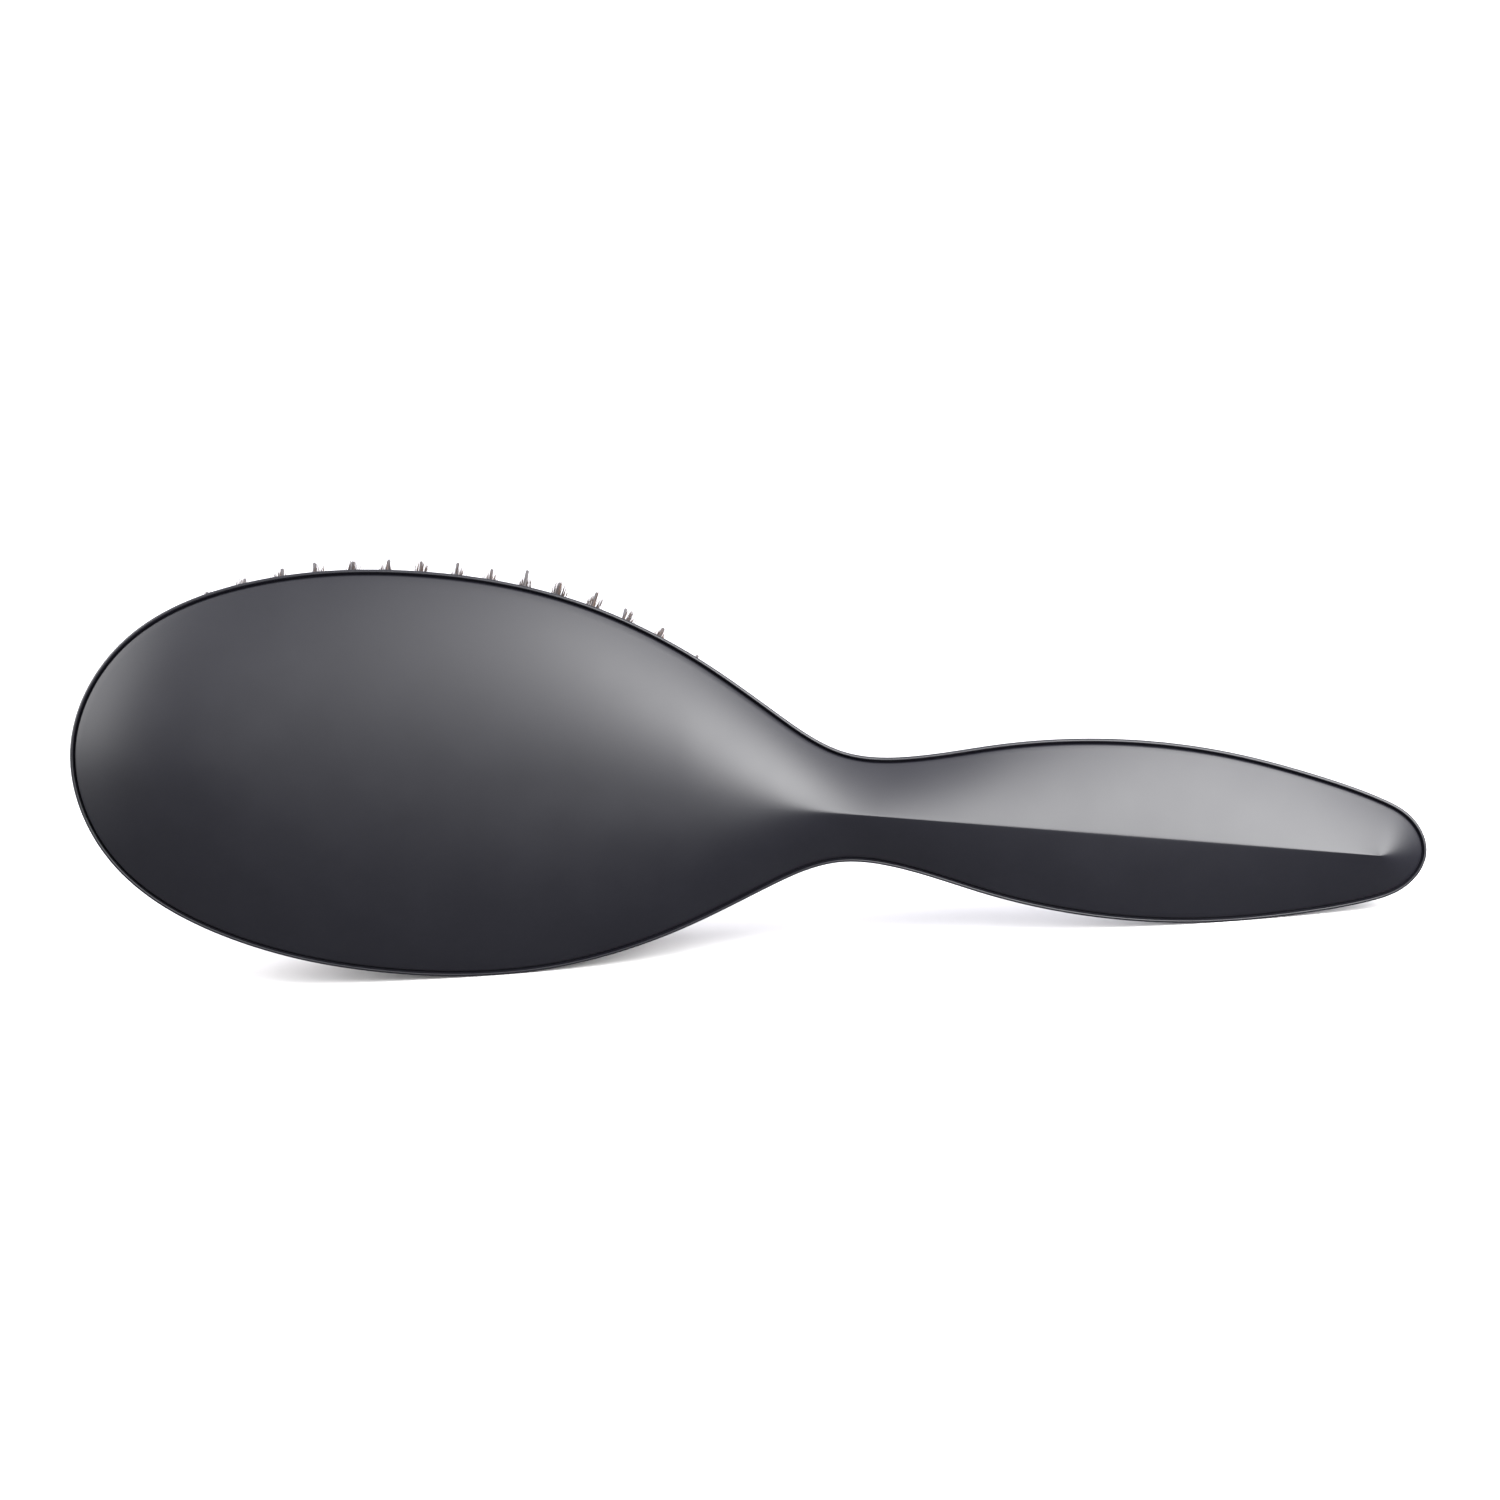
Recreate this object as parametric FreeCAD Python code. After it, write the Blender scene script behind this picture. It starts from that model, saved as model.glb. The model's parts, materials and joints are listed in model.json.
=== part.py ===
"""Oval cushion hair brush: two moulded shells, a rubber cushion on an air chamber, and rings of tufts.

The brush is modelled in its own frame, in millimetres: x runs from the head's tip to the handle's end, y runs
across, and z is the outward normal of the back. z = 0 is the plane of the widest border, and the tufts point
to -z. At the end every piece is turned into the pose in which the brush rests on its long side edge.
"""

import FreeCAD, Part
import math
import os

# ---- Driving dimensions (mm, degrees) ----

# Border outline of the whole brush, half of it: distance from the head's tip, and half width there.
LENGTH = 232.7
HEAD_HALF_WIDTH = 34.9
NECK_HALF_WIDTH = 9.6
HANDLE_HALF_WIDTH = 15.5
OUTLINE_STATIONS = [
    (7.4, 18.5),
    (28.2, 30.7),
    (57.0, HEAD_HALF_WIDTH),
    (83.8, 32.1),
    (106.0, 23.5),
    (120.0, 15.2),
    (132.0, NECK_HALF_WIDTH),
    (143.0, 9.8),
    (158.0, 13.1),
    (176.0, HANDLE_HALF_WIDTH),
    (196.0, 15.0),
    (213.0, 12.0),
    (224.0, 9.0),
    (229.5, 6.2),
]

# The line from which the sections fan out, kept this far from the two rounded ends.
SPINE_HEAD_INSET = 26.0
SPINE_HEAD_FADE = 30.0
SPINE_END_INSET = 9.0
SPINE_END_FADE = 10.0

# Back shell.
HEAD_CROWN = 7.0
RIDGE_HEIGHT = 5.6
DOME_POWER = 2.2
FACET_BULGE = 0.28
CREASE_START = 104.0
CREASE_END = 138.0
BACK_WALL = 2.0

# Front shell.
LIP_WIDTH = 0.6
GROOVE_WIDTH = 0.75
GROOVE_DEPTH = 0.9
LEDGE_INSET = 3.4
LEDGE_DEPTH = 3.0
SIDE_WALL = 1.6
SIDE_TAPER = 10.0
HEAD_DEPTH = 10.5
HEAD_HULL_DEPTH = 12.3
HANDLE_HULL_DEPTH = 10.3
HEAD_HULL_POWER = 9.0
HANDLE_HULL_POWER = 2.2
HULL_CHANGE_START = 96.0
HULL_CHANGE_END = 150.0
FRONT_LIP_THICKNESS = 1.6

# Pegs that hold the two shells together along the handle.
PEG_PLACES = (153.3, 181.0, 208.5)
PEG_RADIUS = 2.0
PEG_CLEARANCE = 0.1
PEG_TIP_Z = -5.5
PEG_TIP_GAP = 0.5
BOSS_RADIUS = 3.6
BOSS_TOP_Z = -2.0

# Cushion: its opening is a superellipse, and rings inside it keep an even distance from its edge.
PAD_CENTRE_X = 59.5
PAD_HALF_LENGTH = 51.5
PAD_HALF_WIDTH = 29.8
PAD_POWER = 2.3
DOME_HEIGHT = 6.4
DOME_FALL = 2.6
RUBBER = 1.5
FLANGE_THICKNESS = 1.4
FLANGE_WIDTH = 0.8
EDGE_GAP = 0.3
CLAMP_THICKNESS = 1.4
CLAMP_INSIDE = 0.8
PLATE_THICKNESS = 1.2

# Tufts.
FIRST_RING_INSET = 3.6
RING_SPACING = 5.6
TUFTS_IN_RING = (42, 35, 29, 23, 17)
SPLAY_SHARE = 0.85
TUFT_LENGTH = 18.5
TUFT_ROOT_RADIUS = 1.1
TUFT_TIP_RADIUS = 1.7
QUILL_RADIUS = 0.4
QUILL_FIT = 0.05
QUILL_EXTRA = 1.2
HOLE_GAP = 0.3
PLUG_RADIUS = 1.7
PLUG_THICKNESS = 0.9
PLUG_GAP = 0.4

# Resting pose: on the head's border, the lower tuft tips and the handle's border.
REST_SLOPE = 8.8
REST_LEAN = 0.7

# Fineness of the interpolated surfaces, and of the line on which a ring's tufts are spaced.
STEPS_ALONG = 56
STEPS_ACROSS = 10
STEPS_HULL = 20
STEPS_PAD = 24
STEPS_RING = 720

# Cutting solids run past what they cut: by a little where another wall is near, else by more or by far.
A_LITTLE = 0.1
PAST = 1.0
BEYOND = 60.0

LEVEL_TOLERANCE = 1e-4
QUARTER_TURN = math.pi / 2
FULL_TURN_DEGREES = 360.0
MIDDLE_PLANE = FreeCAD.Vector(0, 1, 0)


def vector(x, y, z):
    """A point in the brush's own frame."""
    return FreeCAD.Vector(x, y, z)


def smooth_step(value, start, end):
    """Goes smoothly from 0 at start to 1 at end."""
    share = min(max((value - start) / (end - start), 0.0), 1.0)
    return share * share * (3.0 - 2.0 * share)


# ---- Outline and sections ----


def closed_curve(half_points):
    """A smooth closed curve through points on one side of the axis and their mirror images."""
    other_side = [vector(point.x, -point.y, point.z) for point in half_points[-2:0:-1]]
    curve = Part.BSplineCurve()
    curve.interpolate(Points=half_points + other_side, PeriodicFlag=True)
    return curve


def outline_curve():
    """The border. Its first half runs from the head's tip to the handle's end."""
    stations = [(0.0, 0.0)] + OUTLINE_STATIONS + [(LENGTH, 0.0)]
    return closed_curve([vector(x, half_width, 0) for x, half_width in stations])


OUTLINE = outline_curve()


def border_point(share, inset=0.0):
    """A point of the outline's first half, moved inwards by inset."""
    first, last = OUTLINE.FirstParameter, OUTLINE.LastParameter
    parameter = first + (last - first) * share / 2
    point = OUTLINE.value(parameter)
    if share == 0.0:
        return vector(inset, 0, 0)
    if share == 1.0:
        return vector(LENGTH - inset, 0, 0)
    tangent = OUTLINE.tangent(parameter)[0]
    return vector(point.x + tangent.y * inset, point.y - tangent.x * inset, 0)


def spine_x(border_x):
    """Where the section that ends at this border point meets the axis."""
    from_head = SPINE_HEAD_INSET * math.exp(-border_x / SPINE_HEAD_FADE)
    from_end = SPINE_END_INSET * math.exp(-(LENGTH - border_x) / SPINE_END_FADE)
    return border_x + from_head - from_end


def interpolated_face(point_at, rows, columns):
    """A smooth face through a grid of points, point_at(row share, column share)."""
    grid = [[point_at(i / rows, j / columns) for j in range(columns + 1)] for i in range(rows + 1)]
    surface = Part.BSplineSurface()
    surface.interpolate(grid)
    return surface.toShape()


def mirrored(shape):
    """The same shape on the other side of the brush's middle plane."""
    return shape.mirror(vector(0, 0, 0), MIDDLE_PLANE)


def solid_over(half_face, border_edge, rise=0.0):
    """A solid between a half face with its mirror image and a flat face across their border.

    With a rise, upright walls go that far up from the border, or down if it is negative, to the flat face.
    """
    foot = border_edge.translated(vector(0, 0, rise))
    halves = [half_face] + ([border_edge.extrude(vector(0, 0, rise))] if rise else [])
    cap = Part.Face(Part.Wire([foot, mirrored(foot)]))
    sewn = Part.makeCompound(halves + [mirrored(face) for face in halves] + [cap])
    sewn.sewShape()
    solid = Part.Solid(sewn.Shells[0])
    if solid.Volume < 0:
        solid.reverse()
    return solid


def edge_at(face, height):
    """The longest edge of a face that lies wholly at this height."""

    def strays(edge):
        """How far the edge leaves the height."""
        return max(abs(edge.BoundBox.ZMin - height), abs(edge.BoundBox.ZMax - height))

    level = [edge for edge in face.Edges if strays(edge) < LEVEL_TOLERANCE]
    return max(level, key=lambda edge: edge.Length)


def prism_inside(half_points, bottom, top):
    """The space inside a closed curve, between two heights."""
    face = Part.Face(Part.Wire([closed_curve(half_points).toShape()]))
    face.translate(vector(0, 0, bottom))
    return face.extrude(vector(0, 0, top - bottom))


def prism(inset, bottom, top):
    """The outline moved inwards, between two heights."""
    return prism_inside([border_point(i / STEPS_ALONG, inset) for i in range(STEPS_ALONG + 1)], bottom, top)


def block(x_low, x_high, z_low, z_high):
    """A box across the whole width, used to trim."""
    box = Part.makeBox(x_high - x_low, 2 * BEYOND, z_high - z_low)
    box.translate(vector(x_low, -BEYOND, z_low))
    return box


# ---- Back shell ----


def dome_solid(inset, crown_drop, wall_height):
    """The back's domed and creased body, in the border moved in by inset, with upright walls below z = 0."""

    def point_at(along, across):
        border = border_point(along, inset)
        middle = spine_x(border_point(along).x)
        crown = HEAD_CROWN + (RIDGE_HEIGHT - HEAD_CROWN) * smooth_step(middle, CREASE_START, CREASE_END)
        crease = smooth_step(middle, CREASE_START, CREASE_END)
        dome = 1.0 - across**DOME_POWER
        facet = (1.0 - across) * (1.0 + FACET_BULGE * across)
        height = (crown - crown_drop) * (dome + (facet - dome) * crease)
        return vector(middle + (border.x - middle) * across, border.y * across, height)

    half = interpolated_face(point_at, STEPS_ALONG, STEPS_ACROSS)
    return solid_over(half, edge_at(half, 0.0), -wall_height)


def back_shell():
    """Lid with a domed head, a creased handle and three pegs."""
    seat = LIP_WIDTH + GROOVE_WIDTH
    shell = dome_solid(seat, 0.0, GROOVE_DEPTH).cut(dome_solid(seat + BACK_WALL, BACK_WALL, 2 * GROOVE_DEPTH))
    for x in PEG_PLACES:
        peg = Part.makeCylinder(PEG_RADIUS, RIDGE_HEIGHT - BACK_WALL / 2 - PEG_TIP_Z, vector(x, 0, PEG_TIP_Z))
        shell = shell.fuse(peg)
    return shell


# ---- Front shell ----


def hull_solid(inset, thinner):
    """The front's body below z = 0: a boxy bowl at the head that turns into a round belly at the handle."""
    taper = math.tan(math.radians(SIDE_TAPER))

    def point_at(along, around):
        border = border_point(along, inset)
        middle = spine_x(border_point(along).x)
        change = smooth_step(middle, HULL_CHANGE_START, HULL_CHANGE_END)
        depth = HEAD_HULL_DEPTH + (HANDLE_HULL_DEPTH - HEAD_HULL_DEPTH) * change - thinner
        power = HEAD_HULL_POWER * (HANDLE_HULL_POWER / HEAD_HULL_POWER) ** change
        angle = QUARTER_TURN * around
        reach = (math.cos(angle) ** power + math.sin(angle) ** power) ** (-1.0 / power)
        out = max(math.cos(angle) * reach, 0.0)
        down = depth * math.sin(angle) * reach
        width = math.hypot(border.x - middle, border.y)
        scale = out * (1.0 - down * taper / width)
        return vector(middle + (border.x - middle) * scale, border.y * scale, -down)

    half = interpolated_face(point_at, STEPS_ALONG, STEPS_HULL)
    return solid_over(half, edge_at(half, 0.0))


def front_shell():
    """Tray with a thin outer lip, a ledge for the back shell, an opening for the cushion and peg bosses."""
    below = -BEYOND
    outside = hull_solid(0.0, 0.0).cut(block(-BEYOND, LENGTH + BEYOND, below, -HEAD_DEPTH))
    cavity = hull_solid(SIDE_WALL, SIDE_WALL)
    cavity = cavity.cut(block(-BEYOND, LENGTH + BEYOND, below, FRONT_LIP_THICKNESS - HEAD_DEPTH))
    cavity = cavity.cut(block(-BEYOND, LENGTH + BEYOND, -LEDGE_DEPTH, PAST))
    shell = outside.cut(cavity)
    shell = shell.cut(prism(LEDGE_INSET, -LEDGE_DEPTH - A_LITTLE, PAST))
    shell = shell.cut(prism(LIP_WIDTH, -GROOVE_DEPTH, PAST))
    shell = shell.cut(pad_prism(0.0, -HEAD_DEPTH - PAST, FRONT_LIP_THICKNESS - HEAD_DEPTH + A_LITTLE))
    boss_height = BOSS_TOP_Z + HANDLE_HULL_DEPTH
    for x in PEG_PLACES:
        boss = Part.makeCylinder(BOSS_RADIUS, boss_height, vector(x, 0, -HANDLE_HULL_DEPTH))
        socket = Part.makeCylinder(PEG_RADIUS + PEG_CLEARANCE, BEYOND, vector(x, 0, PEG_TIP_Z - PEG_TIP_GAP))
        shell = shell.fuse(boss.common(outside)).cut(socket)
    return shell


# ---- Cushion and what holds it ----


def pad_point(inset, angle):
    """A point in plan on the ring that lies inset inside the cushion's opening."""
    turn_x, turn_y = math.cos(angle), math.sin(angle)
    reach = (abs(turn_x) ** PAD_POWER + abs(turn_y) ** PAD_POWER) ** (-1.0 / PAD_POWER)
    x = PAD_CENTRE_X + (PAD_HALF_LENGTH - inset) * turn_x * reach
    return vector(x, (PAD_HALF_WIDTH - inset) * turn_y * reach, 0)


def dome_rise(inset):
    """How far the cushion stands out of its flange at a distance inside its edge."""
    return DOME_HEIGHT * (1.0 - (1.0 - inset / PAD_HALF_WIDTH) ** DOME_FALL)


def dome_slope(inset):
    """The dome's slope in degrees at a distance inside its edge."""
    rate = DOME_HEIGHT * DOME_FALL / PAD_HALF_WIDTH
    return math.degrees(math.atan(rate * (1.0 - inset / PAD_HALF_WIDTH) ** (DOME_FALL - 1.0)))


FLANGE_FRONT_Z = FRONT_LIP_THICKNESS - HEAD_DEPTH
FLANGE_BACK_Z = FLANGE_FRONT_Z + FLANGE_THICKNESS
CLAMP_BACK_Z = FLANGE_BACK_Z + CLAMP_THICKNESS
PLATE_BACK_Z = CLAMP_BACK_Z + PLATE_THICKNESS


def pad_prism(inset, bottom, top):
    """The cushion's opening moved inwards, between two heights."""
    half_points = [pad_point(inset, math.pi * i / STEPS_PAD) for i in range(STEPS_PAD + 1)]
    return prism_inside(half_points, bottom, top)


def dome_z(inset):
    """The height of the cushion's outer face at a distance inside its edge."""
    return FLANGE_FRONT_Z - dome_rise(inset) + dome_rise(EDGE_GAP)


def cushion_dome(edge_inset, shift, wall_height):
    """The dome's solid, moved back by shift, from a ring inwards, with upright walls behind the ring."""

    def point_at(around, inwards):
        inset = edge_inset + (PAD_HALF_WIDTH - edge_inset) * inwards
        place = pad_point(inset, math.pi * around)
        return vector(place.x, place.y, dome_z(inset) + shift)

    half = interpolated_face(point_at, STEPS_PAD, STEPS_ACROSS)
    return solid_over(half, edge_at(half, dome_z(edge_inset) + shift), wall_height)


def cushion(holes):
    """Domed rubber sheet with a flange, and one hole to each tuft."""
    flange = pad_prism(-FLANGE_WIDTH, FLANGE_FRONT_Z, FLANGE_BACK_Z)
    outer = cushion_dome(EDGE_GAP, 0.0, FLANGE_THICKNESS / 2)
    inner = cushion_dome(EDGE_GAP + RUBBER, RUBBER, FLANGE_THICKNESS)
    return flange.fuse(outer).cut(inner).cut(holes)


def clamp_ring():
    """Flat ring that presses the cushion's flange on the front shell."""
    ring = pad_prism(-FLANGE_WIDTH, FLANGE_BACK_Z, CLAMP_BACK_Z)
    return ring.cut(pad_prism(CLAMP_INSIDE, FLANGE_BACK_Z - PAST, CLAMP_BACK_Z + PAST))


def chamber_plate():
    """Plate that closes the air chamber behind the cushion."""
    return pad_prism(-FLANGE_WIDTH, CLAMP_BACK_Z, PLATE_BACK_Z)


# ---- Tufts ----


def ring_inset(ring):
    """How far a ring of tufts lies inside the cushion's edge."""
    return FIRST_RING_INSET + RING_SPACING * ring


def tuft_placements(ring):
    """One placement to each tuft of a ring: its root on the dome, with +z along the tuft to its tip."""
    inset, count = ring_inset(ring), TUFTS_IN_RING[ring]
    line = [pad_point(inset, 2.0 * math.pi * i / STEPS_RING) for i in range(STEPS_RING + 1)]
    run = [0.0]
    for here, there in zip(line, line[1:]):
        run.append(run[-1] + here.distanceToPoint(there))
    splay = math.radians(SPLAY_SHARE * dome_slope(inset))
    placements = []
    for number in range(count):
        wanted = run[-1] * (number + 0.5 * (ring % 2)) / count
        step = next(i for i in range(STEPS_RING) if run[i + 1] > wanted)
        along = line[step + 1] - line[step]
        root = line[step] + along * ((wanted - run[step]) / along.Length)
        along.normalize()
        direction = vector(along.y * math.sin(splay), -along.x * math.sin(splay), -math.cos(splay))
        rotation = FreeCAD.Rotation(vector(0, 0, 1), direction)
        placements.append(FreeCAD.Placement(vector(root.x, root.y, dome_z(inset)), rotation))
    return placements


PLUG_FRONT = -(RUBBER + PLUG_GAP)


def boar_tuft():
    """A bundle of natural bristle round its quill: straight in the cushion, then spreading to its tip."""
    half_rubber = RUBBER / 2
    profile = [
        (QUILL_RADIUS + QUILL_FIT, PLUG_FRONT),
        (TUFT_ROOT_RADIUS, PLUG_FRONT),
        (TUFT_ROOT_RADIUS, half_rubber),
        (TUFT_TIP_RADIUS, TUFT_LENGTH),
        (QUILL_RADIUS + QUILL_FIT, TUFT_LENGTH),
    ]
    corners = [vector(radius, 0, height) for radius, height in profile]
    face = Part.Face(Part.makePolygon(corners + corners[:1]))
    return face.revolve(vector(0, 0, 0), vector(0, 0, 1), FULL_TURN_DEGREES)


def quill():
    """One nylon filament from the plug to a little past the bristle."""
    return Part.makeCylinder(QUILL_RADIUS, TUFT_LENGTH + QUILL_EXTRA - PLUG_FRONT, vector(0, 0, PLUG_FRONT))


def plug():
    """The disc behind the cushion that keeps a tuft from pulling through."""
    return Part.makeCylinder(PLUG_RADIUS, PLUG_THICKNESS, vector(0, 0, PLUG_FRONT - PLUG_THICKNESS))


def tuft_hole():
    """The hole in the cushion that a tuft passes through."""
    reach = 2 * RUBBER
    return Part.makeCylinder(TUFT_ROOT_RADIUS + HOLE_GAP, 2 * reach, vector(0, 0, -reach))


def copies(piece, placements):
    """One copy of a piece at each placement."""
    made = []
    for placement in placements:
        copy = piece.copy()
        copy.Placement = placement.multiply(copy.Placement)
        made.append(copy)
    return Part.makeCompound(made)


# ---- Assembly ----


def resting_placement():
    """Turns the brush onto its long side edge: back to -Y and a little up, handle end to +X and down."""
    upright = FreeCAD.Rotation(vector(1, 0, 0), 90)
    lean = FreeCAD.Rotation(vector(1, 0, 0), -REST_LEAN)
    slope = FreeCAD.Rotation(vector(0, 1, 0), REST_SLOPE)
    return FreeCAD.Placement(vector(0, 0, 0), slope.multiply(lean).multiply(upright))


def main():
    """Makes every node, stands the brush in its resting pose and writes the files."""
    rings = range(len(TUFTS_IN_RING))
    placements = [tuft_placements(ring) for ring in rings]
    holes = copies(tuft_hole(), [placement for ring in placements for placement in ring])
    nodes = {
        "back_shell": back_shell(),
        "front_shell": front_shell(),
        "cushion": cushion(holes),
        "cushion_clamp_ring": clamp_ring(),
        "chamber_plate": chamber_plate(),
    }
    for ring in rings:
        nodes[f"boar_tufts_ring_{ring + 1}"] = copies(boar_tuft(), placements[ring])
        nodes[f"nylon_quills_ring_{ring + 1}"] = copies(quill(), placements[ring])
        nodes[f"tuft_plugs_ring_{ring + 1}"] = copies(plug(), placements[ring])

    pose = resting_placement()
    box = FreeCAD.BoundBox()
    for shape in nodes.values():
        shape.Placement = pose.multiply(shape.Placement)
        box.add(shape.optimalBoundingBox())
    to_origin = vector(-box.Center.x, -box.Center.y, -box.ZMin)
    os.makedirs("parts", exist_ok=True)
    for name, shape in nodes.items():
        shape.translate(to_origin)
        shape.exportStep(f"parts/{name}.step")
        print(name, len(shape.Solids), "solids,", round(shape.Volume), "mm3, valid", shape.isValid())
    print("box", round(box.XLength, 2), round(box.YLength, 2), round(box.ZLength, 2), "moved by", to_origin)


main()
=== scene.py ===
"""Looks of an oval cushion hair brush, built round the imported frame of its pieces.

The brush rests on its long side edge: +X runs along it to the handle's end, +Z is up and its back faces -Y.
Shapes are worked out in millimetres on the brush's own bench axes, and are then placed in the frame in
metres. On the bench, x runs along the brush from the head's tip, y across it and z out of its back.
"""

import json
import logging
import math
from collections.abc import Callable
from dataclasses import dataclass, field
from enum import Enum

import bmesh
import bpy
import numpy as np
from mathutils import Matrix, Vector


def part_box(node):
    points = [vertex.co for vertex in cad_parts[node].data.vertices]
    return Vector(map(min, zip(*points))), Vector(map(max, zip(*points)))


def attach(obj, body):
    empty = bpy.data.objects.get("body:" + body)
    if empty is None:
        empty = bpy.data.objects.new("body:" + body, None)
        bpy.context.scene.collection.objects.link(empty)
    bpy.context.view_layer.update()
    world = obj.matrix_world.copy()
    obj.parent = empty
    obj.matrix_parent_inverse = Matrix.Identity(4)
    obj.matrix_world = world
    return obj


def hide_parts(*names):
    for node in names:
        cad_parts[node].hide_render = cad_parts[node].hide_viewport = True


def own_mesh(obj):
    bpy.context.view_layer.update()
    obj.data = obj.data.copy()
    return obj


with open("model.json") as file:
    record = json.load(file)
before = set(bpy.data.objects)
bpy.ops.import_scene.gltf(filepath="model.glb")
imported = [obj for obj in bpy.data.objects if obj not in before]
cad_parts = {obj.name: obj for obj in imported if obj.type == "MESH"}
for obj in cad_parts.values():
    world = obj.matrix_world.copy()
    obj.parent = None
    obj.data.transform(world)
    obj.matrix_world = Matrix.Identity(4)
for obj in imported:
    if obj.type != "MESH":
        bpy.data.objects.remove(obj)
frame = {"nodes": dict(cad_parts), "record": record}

LOG = logging.getLogger("cushion_brush")
MM = 0.001
SEED = 4207
WELD = 2e-6
PRESS_JOINT = "cushion_press"

# Noise textures keep mostly to this range.
NOISE_LOW = 0.3
NOISE_HIGH = 0.7


# ---- Colours and nodes ----


def linear(hex_code: str) -> tuple[float, float, float, float]:
    """Turns an sRGB colour into the renderer's linear colour.

    Args:
        hex_code: Six hex digits, with or without a leading hash.

    Returns:
        Red, green, blue and an alpha of 1.
    """
    digits = hex_code.lstrip("#")
    channels = [int(digits[i : i + 2], 16) / 255 for i in (0, 2, 4)]
    low = [c / 12.92 if c <= 0.04045 else ((c + 0.055) / 1.055) ** 2.4 for c in channels]
    return (low[0], low[1], low[2], 1.0)


def per_mm(size: float) -> float:
    """The texture scale whose features are this many millimetres across."""
    return 1.0 / (size * MM)


def add_node(tree: bpy.types.NodeTree, kind: str, settings: dict, links: dict) -> bpy.types.Node:
    """Adds one node to a material.

    Args:
        tree: The material's node tree.
        kind: The node's type name.
        settings: Values by input name or number, or by the node's own property name.
        links: By input name or number, the node that feeds it and the name of its output.

    Returns:
        The new node.
    """
    node = tree.nodes.new(kind)
    for key, value in settings.items():
        if isinstance(key, str) and key not in node.inputs:
            setattr(node, key, value)
        else:
            node.inputs[key].default_value = value
    for key, (source, output) in links.items():
        tree.links.new(source.outputs[output], node.inputs[key])
    return node


class Slot(Enum):
    """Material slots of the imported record."""

    SHELL = "satin_black_abs"
    RUBBER = "cushion_rubber"
    BRISTLE = "boar_bristle"
    NYLON = "clear_nylon"


@dataclass(frozen=True)
class Finish:
    """What every finish has: a name and a way to make its material."""

    name: str

    def shade(self, tree: bpy.types.NodeTree, place: bpy.types.Node) -> bpy.types.Node:
        """Adds the finish's own nodes and returns its surface shader."""
        raise NotImplementedError

    def material(self) -> bpy.types.Material:
        """Makes the finish's material, or returns it if it was made before."""
        made = bpy.data.materials.get(self.name)
        if made is not None:
            return made
        made = bpy.data.materials.new(self.name)
        made.use_nodes = True
        tree = made.node_tree
        tree.nodes.clear()
        place = add_node(tree, "ShaderNodeTexCoord", {}, {})
        surface = self.shade(tree, place)
        add_node(tree, "ShaderNodeOutputMaterial", {}, {"Surface": (surface, "BSDF")})
        return made


@dataclass(frozen=True)
class SatinAbs(Finish):
    """Moulded ABS with a spark-eroded satin grain: near black, with broad soft reflections."""

    body: str = "#05050A"
    bloom: str = "#07070D"
    ior: float = 1.41
    roughness: float = 0.44
    roughness_spread: float = 0.012
    grain_mm: float = 0.35
    grain_height_mm: float = 0.004
    flow_mm: float = 9.0

    def shade(self, tree: bpy.types.NodeTree, place: bpy.types.Node) -> bpy.types.Node:
        """Adds faint flow clouds in the colour and gloss, and the moulded grain.

        The real grain is about 0.1 mm. It is drawn at 0.35 mm, so that it shows as a fine tooth.
        """
        where = {"Vector": (place, "Object")}
        flow = add_node(tree, "ShaderNodeTexNoise", {"Scale": per_mm(self.flow_mm), "Detail": 4.0}, where)
        grain = add_node(tree, "ShaderNodeTexNoise", {"Scale": per_mm(self.grain_mm), "Detail": 2.0}, where)
        cloud = add_node(
            tree,
            "ShaderNodeMix",
            {"data_type": "RGBA", 6: linear(self.body), 7: linear(self.bloom)},
            {"Factor": (flow, "Fac")},
        )
        gloss = add_node(
            tree,
            "ShaderNodeMapRange",
            {
                "From Min": NOISE_LOW,
                "From Max": NOISE_HIGH,
                "To Min": self.roughness - self.roughness_spread,
                "To Max": self.roughness + self.roughness_spread,
            },
            {"Value": (flow, "Fac")},
        )
        tooth = add_node(
            tree,
            "ShaderNodeBump",
            {"Strength": 0.5, "Distance": self.grain_height_mm * MM},
            {"Height": (grain, "Fac")},
        )
        return add_node(
            tree,
            "ShaderNodeBsdfPrincipled",
            {"IOR": self.ior},
            {"Base Color": (cloud, 2), "Roughness": (gloss, "Result"), "Normal": (tooth, "Normal")},
        )


@dataclass(frozen=True)
class CushionRubber(Finish):
    """Natural rubber sheet, dipped and dusted: a soft brick red with a matt bloom."""

    body: str = "#8A3A2E"
    bloom: str = "#9C4E40"
    roughness: float = 0.58
    bloom_mm: float = 4.0
    pore_mm: float = 0.4
    pore_depth_mm: float = 0.01

    def shade(self, tree: bpy.types.NodeTree, place: bpy.types.Node) -> bpy.types.Node:
        """Adds the chalky bloom and the fine pores."""
        where = {"Vector": (place, "Object")}
        bloom = add_node(tree, "ShaderNodeTexNoise", {"Scale": per_mm(self.bloom_mm), "Detail": 5.0}, where)
        pores = add_node(tree, "ShaderNodeTexNoise", {"Scale": per_mm(self.pore_mm), "Detail": 3.0}, where)
        colour = add_node(
            tree,
            "ShaderNodeMix",
            {"data_type": "RGBA", 6: linear(self.body), 7: linear(self.bloom)},
            {"Factor": (bloom, "Fac")},
        )
        relief = add_node(
            tree,
            "ShaderNodeBump",
            {"Strength": 0.6, "Distance": self.pore_depth_mm * MM},
            {"Height": (pores, "Fac")},
        )
        return add_node(
            tree,
            "ShaderNodeBsdfPrincipled",
            {"Roughness": self.roughness, "IOR": 1.52, "Sheen Weight": 0.15, "Sheen Roughness": 0.5},
            {"Base Color": (colour, 2), "Normal": (relief, "Normal")},
        )


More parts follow.
